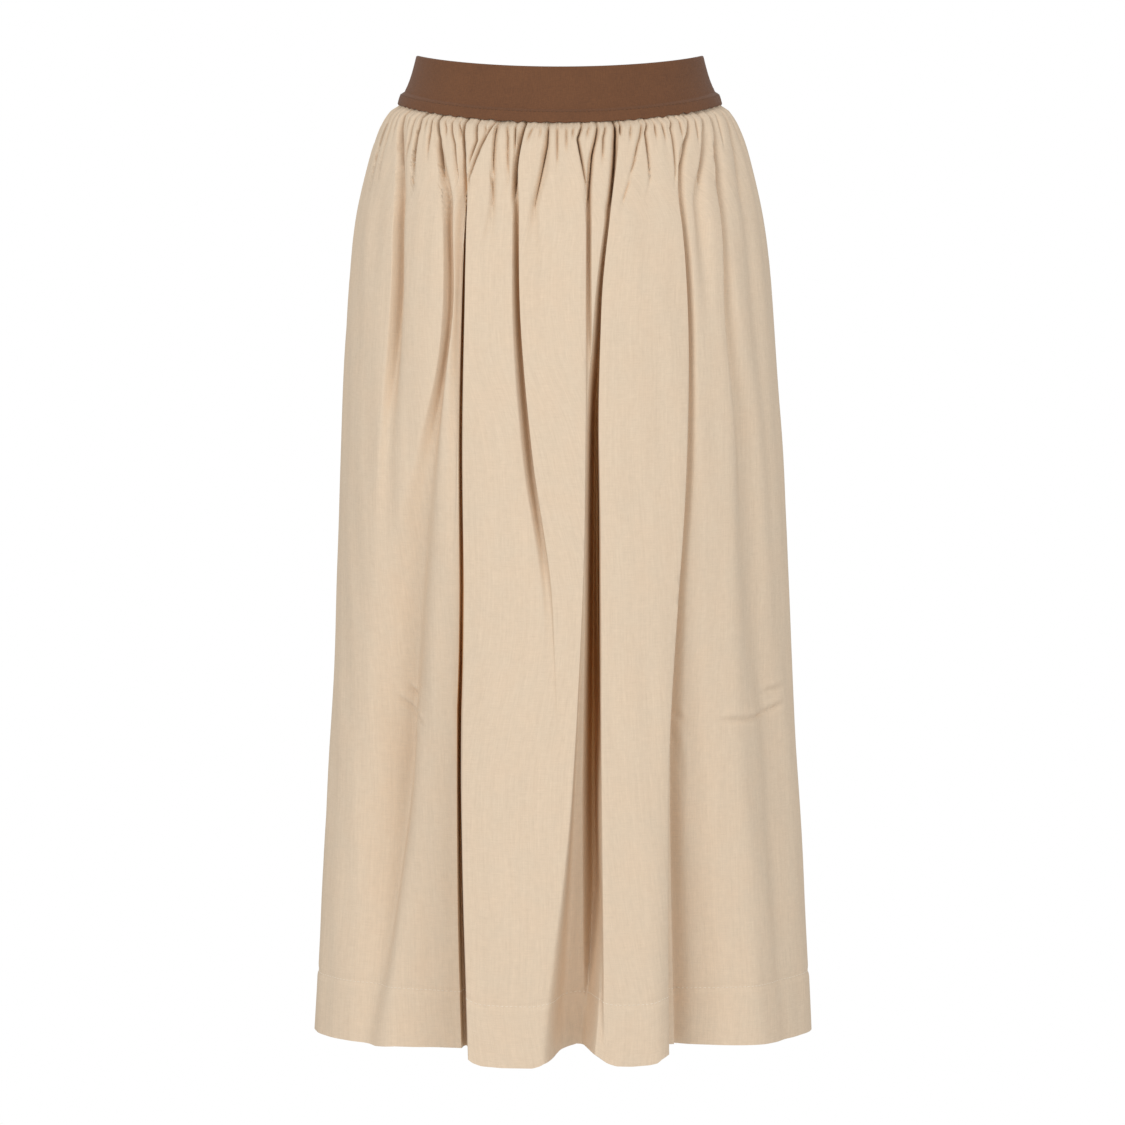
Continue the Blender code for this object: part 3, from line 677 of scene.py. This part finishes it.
def gather_relief(gathers, places, turn, drop):
    """How far the gathers press the cloth in and aside, and how close their walls are: rounded
    tubes, a narrow pinch between each two, and small puckers along the seam."""
    freed = PRESSED_SHARE + (1 - PRESSED_SHARE) * smooth_step(drop, PRESSED_DROP, FULL_DROP)
    tubes = 1 - smooth_step(drop, TUBE_FADE_DROP, TUBE_END_DROP)
    inward = TUBE_DEPTH * freed * tubes * (0.5 - 0.5 * np.cos(2 * math.pi * places))
    sideways = np.zeros_like(turn)
    closeness = np.zeros_like(turn)
    half_width = outline("half_width", drop)
    for gather, valley in zip(gathers, gather_turns(gathers, drop)):
        run_out = RUN_OUT_SHARE * max(0.0, gather["end_drop"] - RUN_OUT_DROP)
        fading = 1 - smooth_step(drop, gather["middle_drop"], gather["end_drop"] + run_out)
        away = (turn - valley) * half_width
        near = abs(away) / (PINCH_REACH * np.where(away < 0, gather["left"], gather["right"]))
        depth = PINCH_DEPTH * gather["depth"] ** PINCH_CONTRAST * freed * fading
        press = depth * np.exp(-(near**PINCH_POWER))
        lopsided = (gather["left"] - gather["right"]) / (gather["left"] + gather["right"])
        inward = inward + press
        sideways += PINCH_LEAN * lopsided * press
        closeness += press / (PINCH_REACH * (gather["left"] + gather["right"]))
    tube = np.round(places)
    split = np.exp(-(((places - tube) / SPLIT_WIDTH) ** 2))
    split_end = SPLIT_END_DROP + SPLIT_SPREAD * np.sin(SPLIT_PHASE * tube)
    splits = 1 - smooth_step(drop, split_end - SPLIT_SPREAD, split_end)
    inward = inward + SPLIT_DEPTH * split * splits
    puckers = 1 - smooth_step(drop, PRESSED_DROP, PUCKER_END_DROP)
    coarse, fine = (swaying_wave(turn, *wave) for wave in PUCKER_WAVES)
    inward = inward + PUCKER_DEPTH * puckers * (coarse * fine)
    start, grown, fading, gone = RIPPLE_DROPS
    ripples = smooth_step(drop, start, grown) * (1 - smooth_step(drop, fading, gone))
    patches = RIPPLE_MEAN + RIPPLE_SWING * np.sin(RIPPLE_PATCHES * turn + drop / RIPPLE_SLANT)
    ripples *= swaying_wave(turn, *RIPPLE_WAVE) * patches
    return inward + RIPPLE_DEPTH * ripples, sideways, closeness


def settled_turns(panel, gathers, places, drop):
    """Turns that share out a level's columns between the folds that reach the hem, crowded where
    the cloth bends, and how far along the cloth each one is."""
    turn = np.linspace(-QUARTER, QUARTER, SECTION_SAMPLES)
    inward, sideways, _ = folded(panel, drop, turn)
    steps = np.diff(section(panel, drop, turn, inward, sideways), axis=0)
    step_lengths = np.linalg.norm(steps, axis=1)
    headings = np.unwrap(np.arctan2(steps[:, 1], steps[:, 0]))
    bends = np.abs(np.diff(headings, prepend=headings[0]))
    lengths = np.concatenate([[0], np.cumsum(step_lengths)])
    shares = np.concatenate([[0], np.cumsum(step_lengths + BEND_WEIGHT * bends)])
    stops, knots = [0.0], [0.0]
    starts = np.array([gather["turn"] for gather in gathers])
    for band_turn, name in panel["anchors"]:
        stops.append(float(np.argmin(abs(starts - band_turn))) + 0.5)
        fold_turn = math.radians(float(along(drop, LEVELS, panel["turns"][name])))
        knots.append(float(np.interp(fold_turn, turn, shares)))
    stops.append(float(len(gathers)))
    knots.append(shares[-1])
    found = np.interp(np.interp(places, stops, knots), shares, turn)
    return found, np.interp(found, turn, lengths)


def creased(panel, drop, turn):
    """How far the small creases press the cloth in at one level."""
    pressed = np.zeros_like(turn)
    half_width = outline("half_width", drop)
    begins, deepest, fading, gone = CREASE_TAPER
    for row in panel["creases"]:
        crease = dict(zip(CREASE_COLUMNS, row))
        start = np.array([math.radians(crease["turn"]) * half_width, crease["drop"]])
        end = np.array([math.radians(crease["end_turn"]) * half_width, crease["end_drop"]])
        run = end - start
        length = float(np.linalg.norm(run))
        across = turn * half_width - start[0]
        down = drop - start[1]
        part = (across * run[0] + down * run[1]) / length**2
        away = (across * run[1] - down * run[0]) / length
        taper = smooth_step(part, begins, deepest) * (1 - smooth_step(part, fading, gone))
        groove = np.exp(-((away / crease["width"]) ** 2))
        ridge = np.exp(-(((away / crease["width"] - RIDGE_AWAY) / RIDGE_WIDTH) ** 2))
        pressed += crease["depth"] * taper * (groove - RIDGE_HEIGHT * ridge)
    return pressed


def uneven(turn, drop):
    """Faint waves all over the cloth, and the groove of the hem's stitches."""
    upright = np.sin(UPRIGHT_COUNT * turn + UPRIGHT_SWAY * math.sin(drop / SWAY_DROP))
    slanting = np.sin(SLANTING_COUNT * turn - drop / SLANTING_DROP)
    patches = np.sin(PATCH_COUNT * turn + drop / PATCH_DROP)
    waves = upright * math.sin(drop / SWELL_DROP + SWELL_START) + slanting * patches
    groove = HEM_GROOVE_DEPTH * math.exp(-(((drop - HEM_STITCH_DROP) / HEM_GROOVE_WIDTH) ** 2))
    proud = HEM_PROUD * float(smooth_step(drop, HEM_STITCH_DROP, HEM_STITCH_DROP + HEM_PROUD_RUN))
    return WAVE_DEPTH * float(smooth_step(drop, *WAVE_DROPS)) * waves + groove - proud


def column_places(count):
    """Positions along a row, in gathers: crowded at each valley at the band, even further down."""
    even = np.arange(count * COLUMNS_PER_GATHER + 1) / COLUMNS_PER_GATHER
    across = 2 * (even % 1) - 1
    crowded = np.floor(even) + 0.5 + 0.5 * np.sign(across) * abs(across) ** COLUMN_CROWDING
    return crowded, even


def panel_row(panel, gathers, drop):
    """One row of cloth, how far along the cut cloth each point is, and how much painted fold shade it
    gets from how closely the walls of folds and gathers shut it in.
    """
    count = len(gathers)
    crowded, even = column_places(count)
    share = float(smooth_step(drop, FREE_DROP, SETTLED_DROP))
    places = crowded + (even - crowded) * share
    stops = np.concatenate([[0], np.arange(count) + 0.5, [count]])
    knots = np.concatenate([[-QUARTER], gather_turns(gathers, drop), [QUARTER]])
    turn = np.interp(places, stops, knots)
    settled, lengths = settled_turns(panel, gathers, even, drop)
    turn += (settled - turn) * share
    cut = places / count + (lengths / lengths[-1] - places / count) * share
    in_folds, aside_folds, near_folds = folded(panel, drop, turn)
    in_gathers, aside_gathers, near_gathers = gather_relief(gathers, places, turn, drop)
    from_seam = (QUARTER - abs(turn)) * outline("front", drop)
    seam = SEAM_PINCH * np.exp(-((from_seam / SEAM_PINCH_REACH) ** 2))
    inward = in_folds + in_gathers + creased(panel, drop, turn) + uneven(turn, drop) + seam
    points = section(panel, drop, turn, inward, aside_folds + aside_gathers)
    # Painted shade: how far this point's colour is darkened towards the fold shade, from how close
    # the walls of folds and gathers are.
    painted_fold_shade = smooth_step(near_folds + GATHER_CLOSENESS * near_gathers, *PAINTED_SHADE_CLOSENESS)
    return points, CUT_WIDTH * cut, painted_fold_shade


def row_drops():
    """The drop of every row of cloth."""
    starts = [start for start, _ in ROW_STRETCHES]
    drops = []
    for (start, spacing), end in zip(ROW_STRETCHES, starts[1:] + [HEM_DROP]):
        count = round((end - start) / spacing)
        drops += [start + (end - start) * index / count for index in range(count)]
    return drops + [HEM_DROP]


# ---- meshes


def add_object(name, data):
    item = bpy.data.objects.new(name, data)
    bpy.context.scene.collection.objects.link(item)
    return item


def mesh_of(name, points, faces, material):
    mesh = bpy.data.meshes.new(name)
    mesh.from_pydata((np.asarray(points) * MM).tolist(), [], faces)
    mesh.shade_smooth()
    mesh.materials.append(material)
    return add_object(name, mesh)


def grid_faces(rows, columns, closed=False):
    """Quads of a grid of points, row by row, wound to face the side it is seen from. A closed grid
    runs round both ways, as the skin of a ring."""
    spans = 0 if closed else 1
    faces = []
    for row in range(rows - spans):
        upper, lower = row * columns, (row + 1) % rows * columns
        for column in range(columns - spans):
            after = (column + 1) % columns
            faces.append((upper + column, lower + column, lower + after, upper + after))
    return faces


def set_uvs(item, places):
    """A UV map from one (across, down) pair in metres for each point."""
    layer = item.data.uv_layers.new(name="cut")
    corners = np.empty(len(item.data.loops), int)
    item.data.loops.foreach_get("vertex_index", corners)
    layer.data.foreach_set("uv", (np.asarray(places) * MM)[corners].ravel())


def apply_modifiers(item):
    """Keeps the evaluated mesh, so that no modifier is left."""
    evaluated = item.evaluated_get(bpy.context.evaluated_depsgraph_get())
    mesh = bpy.data.meshes.new_from_object(evaluated)
    item.modifiers.clear()
    item.data = mesh


def make_cloth(name, panel, cloth):
    """A panel's thin shell, doubled where the hem is turned up."""
    gathers = gathers_of(panel)
    drops = row_drops()
    rows, cuts, painted_fold_shades = zip(*(panel_row(panel, gathers, drop) for drop in drops))
    columns = len(rows[0])
    item = mesh_of(name, np.concatenate(rows), grid_faces(len(rows), columns), cloth)
    downs = np.repeat(-np.array(drops), columns)
    set_uvs(item, np.stack([np.concatenate(cuts), downs], axis=-1))
    # The painted fold shade of each point, kept for the cloth's material.
    painted_fold_shade = item.data.attributes.new("painted_fold_shade", "FLOAT", "POINT")
    painted_fold_shade.data.foreach_set("value", np.concatenate(painted_fold_shades))
    hem = item.vertex_groups.new(name="hem")
    first = next(row for row, drop in enumerate(drops) if drop > HEM_DROP - HEM_DEPTH)
    hem.add(list(range(first * columns, len(drops) * columns)), 1.0, "REPLACE")
    wall = item.modifiers.new("wall", "SOLIDIFY")
    wall.thickness = HEM_WALL * MM
    wall.offset = -1.0
    wall.vertex_group = hem.name
    wall.thickness_vertex_group = CLOTH_WALL / HEM_WALL
    apply_modifiers(item)
    item.data.set_sharp_from_angle(angle=math.radians(CLOTH_SHARP_ANGLE))
    return item


def band_ring(drop, inset, turn, drop_shift=0.0):
    """A closed ring of the band's outer face at each turn, moved in by the inset."""
    half_width, front, back = (
        float(along(drop, BAND_AT["drop"], BAND_AT[name]))
        for name in ("half_width", "front", "back")
    )
    reach = np.where(np.cos(turn) > 0, front, back)
    x = (half_width - inset) * np.sin(turn)
    y = -(reach - inset) * np.cos(turn)
    z = -drop - drop_shift - lowering(turn, drop, faces_back=False)
    return np.stack([x, y, z], axis=-1)


def make_band(elastic):
    """The elastic: fine upright ribs, a turned lower edge, and a plain inside."""
    columns = BAND_RIBS * COLUMNS_PER_RIB
    turn = np.linspace(0, 2 * math.pi, columns, endpoint=False)
    ribs = RIB_DEPTH * (0.5 - 0.5 * np.cos(BAND_RIBS * turn))
    draw = random.Random(SCALLOP_SEED)
    waves = [
        (draw.randint(*SCALLOP_COUNTS), draw.uniform(0, 2 * math.pi)) for _ in range(SCALLOP_WAVES)
    ]
    scallop = sum(np.sin(count * turn + start) for count, start in waves) / len(waves) ** 0.5
    top, bottom = BAND_ROWS[0], BAND_ROWS[-1]

    def shift_at(drop):
        return EDGE_SCALLOP * scallop * float(smooth_step(drop, SCALLOP_DROP, bottom))

    rings = []
    for drop in BAND_ROWS:
        edge = min(drop - top, bottom - drop)
        rounding = 0.5 * BAND_WALL * max(0.0, 1 - edge / BAND_EDGE_ROUND) ** 2
        away = (drop - BAND_GROOVE_DROP) / BAND_GROOVE_WIDTH
        groove = BAND_GROOVE_DEPTH * math.exp(-(away**2))
        rings.append(band_ring(drop, ribs + rounding + groove, turn, shift_at(drop)))
    for drop in BAND_INSIDE_ROWS:
        rings.append(band_ring(drop, BAND_WALL, turn, shift_at(drop)))
    faces = grid_faces(len(rings), columns, closed=True)
    item = mesh_of("waistband_elastic", np.concatenate(rings), faces, elastic)
    item.data.set_sharp_from_angle(angle=math.radians(BAND_SHARP_ANGLE))
    return item


def stitch_line(name, row_at, drop, length, gap, width, thread):
    """Stitches laid end to end along one level of a surface, each a small tapered thread."""
    line, above, below = (row_at(drop + shift) for shift in (0, -1, 1))
    outward = np.cross(below - above, np.gradient(line, axis=0))
    outward /= np.linalg.norm(outward, axis=1, keepdims=True)
    steps = np.linalg.norm(np.diff(line, axis=0), axis=1)
    distance = np.concatenate([[0], np.cumsum(steps)])
    shares, radius_shares, lift_shares = np.array(STITCH_RINGS).T

    def sampled(values, at):
        return np.stack([np.interp(at, distance, column) for column in values.T], axis=-1)

    points, faces = [], []
    angles = 2 * math.pi * np.arange(STITCH_SIDES) / STITCH_SIDES
    for start in np.arange(gap, distance[-1] - length, length + gap):
        at = start + length * shares
        centres, normals = sampled(line, at), sampled(outward, at)
        normals /= np.linalg.norm(normals, axis=1, keepdims=True)
        heading = centres[-1] - centres[0]
        heading /= np.linalg.norm(heading)
        radii, lifts = 0.5 * width * radius_shares, width * lift_shares
        first = len(points)
        for centre, normal, radius, raised in zip(centres, normals, radii, lifts):
            side = np.cross(heading, normal)
            side /= np.linalg.norm(side)
            for angle in angles:
                rim = radius * (math.cos(angle) * normal + math.sin(angle) * side)
                points.append(centre + raised * normal + rim)
        rings = len(at)
        for ring in range(rings - 1):
            for index in range(STITCH_SIDES):
                after = (index + 1) % STITCH_SIDES
                near, far = first + ring * STITCH_SIDES, first + (ring + 1) * STITCH_SIDES
                faces.append((near + index, near + after, far + after, far + index))
        end = first + (rings - 1) * STITCH_SIDES
        faces.append(tuple(first + index for index in reversed(range(STITCH_SIDES))))
        faces.append(tuple(end + index for index in range(STITCH_SIDES)))
    return mesh_of(name, points, faces, thread)


def make_hem_stitches(name, panel, thread):
    gathers = gathers_of(panel)

    def row_at(drop):
        return panel_row(panel, gathers, drop)[0]

    return stitch_line(name, row_at, HEM_STITCH_DROP, *HEM_STITCH, thread)


def make_band_stitches(thread):
    turn = np.linspace(0, 2 * math.pi, BAND_STITCH_SAMPLES)

    def row_at(drop):
        return band_ring(drop, 0, turn)

    return stitch_line("waistband_stitching", row_at, BAND_STITCH_DROP, *BAND_STITCH, thread)


# ---- materials


class Nodes:
    """Short calls for making and joining a material's nodes."""

    def __init__(self, name, surface):
        self.material = bpy.data.materials.new(name)
        self.material.use_nodes = True
        self.tree = self.material.node_tree
        self.shader = self.tree.nodes["Principled BSDF"]
        for socket, value in surface.items():
            self.shader.inputs[socket].default_value = value

    def add(self, kind, **values):
        node = self.tree.nodes.new(kind)
        for key, value in values.items():
            setattr(node, key, value)
        return node

    def join(self, output, socket):
        self.tree.links.new(output, socket)

    def math(self, operation, first, second):
        node = self.add("ShaderNodeMath", operation=operation)
        for socket, value in zip(node.inputs, (first, second)):
            if isinstance(value, (int, float)):
                socket.default_value = value
            else:
                self.join(value, socket)
        return node.outputs[0]

    def noise(self, vector, scale, detail, roughness):
        """A noise scaled evenly, or by an amount of its own along each axis."""
        if isinstance(scale, tuple):
            mapping = self.add("ShaderNodeMapping")
            mapping.inputs["Scale"].default_value = scale
            self.join(vector, mapping.inputs["Vector"])
            vector, scale = mapping.outputs[0], 1.0
        node = self.add("ShaderNodeTexNoise")
        node.inputs["Scale"].default_value = scale
        node.inputs["Detail"].default_value = detail
        node.inputs["Roughness"].default_value = roughness
        self.join(vector, node.inputs["Vector"])
        return node.outputs["Fac"]

    def blend(self, factor, first, second, kind="MIX"):
        node = self.add("ShaderNodeMix", data_type="RGBA", blend_type=kind)
        places = (MIX_FACTOR, MIX_FIRST, MIX_SECOND)
        for place, value in zip(places, (factor, first, second)):
            socket = node.inputs[place]
            if isinstance(value, (int, float)):
                socket.default_value = value
            elif isinstance(value, tuple):
                socket.default_value = (*value, 1.0)
            else:
                self.join(value, socket)
        return node.outputs[MIX_RESULT]

    def spread(self, value, low, high, to_low=0.0, to_high=1.0):
        node = self.add("ShaderNodeMapRange")
        names = ("From Min", "From Max", "To Min", "To Max")
        for name, number in zip(names, (low, high, to_low, to_high)):
            node.inputs[name].default_value = number
        self.join(value, node.inputs["Value"])
        return node.outputs[0]

    def bump(self, height, strength, distance):
        node = self.add("ShaderNodeBump")
        node.inputs["Strength"].default_value = strength
        node.inputs["Distance"].default_value = distance
        self.join(height, node.inputs["Height"])
        self.join(node.outputs["Normal"], self.shader.inputs["Normal"])


def cloth_material():
    """A matt plain weave: uneven threads both ways, a faint grey-green cloudiness, and painted shade
    that darkens and warms the narrow folds.
    """
    made = Nodes("plain_weave", CLOTH_SURFACE)
    uv = made.add("ShaderNodeUVMap", uv_map="cut").outputs["UV"]
    noises = {name: made.noise(uv, *noise) for name, noise in CLOTH_NOISES.items()}
    threads = made.math("ADD", noises["warp"], noises["weft"])
    shade = made.spread(threads, *WEAVE_TONES)
    streak = made.spread(made.math("ADD", noises["slub"], noises["mottle"]), *STREAK_TONES)
    base = made.blend(made.spread(noises["cloud"], *CLOUD_SPAN), CLOTH_COLOUR, CLOTH_GREY)
    tone = made.math("MULTIPLY", shade, streak)
    grey = made.add("ShaderNodeCombineColor")
    for socket in grey.inputs:
        made.join(tone, socket)
    # Painted shade: the cloth's colour is darkened towards the fold shade where the walls of folds
    # and gathers are close.
    painted_fold_shade = made.add("ShaderNodeAttribute", attribute_name="painted_fold_shade").outputs["Fac"]
    base = made.blend(painted_fold_shade, base, PAINTED_FOLD_SHADE)
    colour = made.blend(1.0, base, grey.outputs[0], "MULTIPLY")
    made.join(colour, made.shader.inputs["Base Color"])
    made.bump(made.math("ADD", threads, noises["mottle"]), *CLOTH_BUMP)
    return made.material


def elastic_material():
    """Brown woven elastic: fine ribs upright, finer wefts across them."""
    made = Nodes("woven_elastic", ELASTIC_SURFACE)
    place = made.add("ShaderNodeTexCoord").outputs["Object"]
    noises = {name: made.noise(place, *noise) for name, noise in ELASTIC_NOISES.items()}
    threads = made.math("ADD", noises["wefts"], noises["ends"])
    mixed = made.math(
        "ADD",
        made.math("MULTIPLY", threads, ELASTIC_THREADS),
        made.math("MULTIPLY", noises["cloud"], ELASTIC_CLOUD),
    )
    colour = made.blend(made.spread(mixed, *ELASTIC_SPAN), BAND_SHADE, BAND_COLOUR)
    made.join(colour, made.shader.inputs["Base Color"])
    made.bump(threads, *ELASTIC_BUMP)
    return made.material


def thread_material(name, colour):
    """Sewing thread with a slight twist."""
    made = Nodes(name, THREAD_SURFACE)
    place = made.add("ShaderNodeTexCoord").outputs["Object"]
    twist = made.noise(place, *TWIST_NOISE)
    shade = tuple(channel * THREAD_SHADE for channel in colour)
    twisted = made.blend(made.spread(twist, *TWIST_SPAN), shade, colour)
    made.join(twisted, made.shader.inputs["Base Color"])
    made.bump(twist, *TWIST_BUMP)
    return made.material


def floor_material():
    made = Nodes("pale_floor", FLOOR_SURFACE)
    made.shader.inputs["Base Color"].default_value = (*FLOOR_COLOUR, 1.0)
    return made.material


# ---- studio


def make_camera():
    camera = add_object("camera", bpy.data.cameras.new("camera"))
    camera.data.lens = CAMERA_LENS
    camera.data.sensor_width = CAMERA_SENSOR
    camera.location = CAMERA_PLACE
    camera.rotation_euler = (QUARTER, 0, 0)
    bpy.context.scene.camera = camera


def make_lights():
    for row in LIGHTS:
        light = dict(zip(LIGHT_COLUMNS, row))
        lamp = bpy.data.lights.new(light["name"], "AREA")
        lamp.shape = "SQUARE"
        lamp.size = light["size"]
        lamp.energy = light["watts"]
        lamp.color = LAMP_COLOUR
        item = add_object(light["name"], lamp)
        item.location = light["place"]
        aim = Vector(AIM) - Vector(light["place"])
        item.rotation_euler = aim.to_track_quat("-Z", "Y").to_euler()


def make_world():
    """White all round to look at, dimmer as a light."""
    world = bpy.data.worlds.new("studio")
    bpy.context.scene.world = world
    world.use_nodes = True
    tree = world.node_tree
    seen = tree.nodes.new("ShaderNodeLightPath").outputs["Is Camera Ray"]
    strength = tree.nodes.new("ShaderNodeMapRange")
    tree.links.new(seen, strength.inputs["Value"])
    strength.inputs["To Min"].default_value = WORLD_LIGHT
    strength.inputs["To Max"].default_value = 1.0
    tint = tree.nodes.new("ShaderNodeMix")
    tint.data_type = "RGBA"
    tree.links.new(seen, tint.inputs[MIX_FACTOR])
    tint.inputs[MIX_FIRST].default_value = (*WORLD_COLOUR, 1.0)
    tint.inputs[MIX_SECOND].default_value = (*WHITE, 1.0)
    background = tree.nodes["Background"]
    tree.links.new(tint.outputs[MIX_RESULT], background.inputs["Color"])
    tree.links.new(strength.outputs[0], background.inputs["Strength"])


def make_floor():
    turn = np.linspace(0, 2 * math.pi, FLOOR_SIDES, endpoint=False)
    level = np.full_like(turn, -FLOOR_DROP)
    rim = np.stack([FLOOR_RADIUS * np.cos(turn), FLOOR_RADIUS * np.sin(turn), level], axis=-1)
    mesh_of("floor", rim / MM, [tuple(range(len(turn)))], floor_material())


# ---- the whole skirt


def main():
    make_camera()
    make_lights()
    make_world()
    make_floor()
    bpy.context.scene.view_settings.view_transform = "Standard"

    cloth = cloth_material()
    thread = thread_material("pale_thread", THREAD_COLOUR)
    band_thread = thread_material("brown_thread", BAND_THREAD_COLOUR)

    band = make_band(elastic_material())
    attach(band, "root")
    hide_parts("waistband")

    band_stitches = make_band_stitches(band_thread)
    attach(band_stitches, "root")

    for side in ("front", "back"):
        panel = dict(zip(PANEL_PARTS, PANELS[side + "_panel"]))
        stitches = make_hem_stitches(side + "_hem_stitching", panel, thread)
        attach(stitches, "root")
        piece = make_cloth(side + "_cloth", panel, cloth)
        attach(piece, "root")
        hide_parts(side + "_panel")


main()
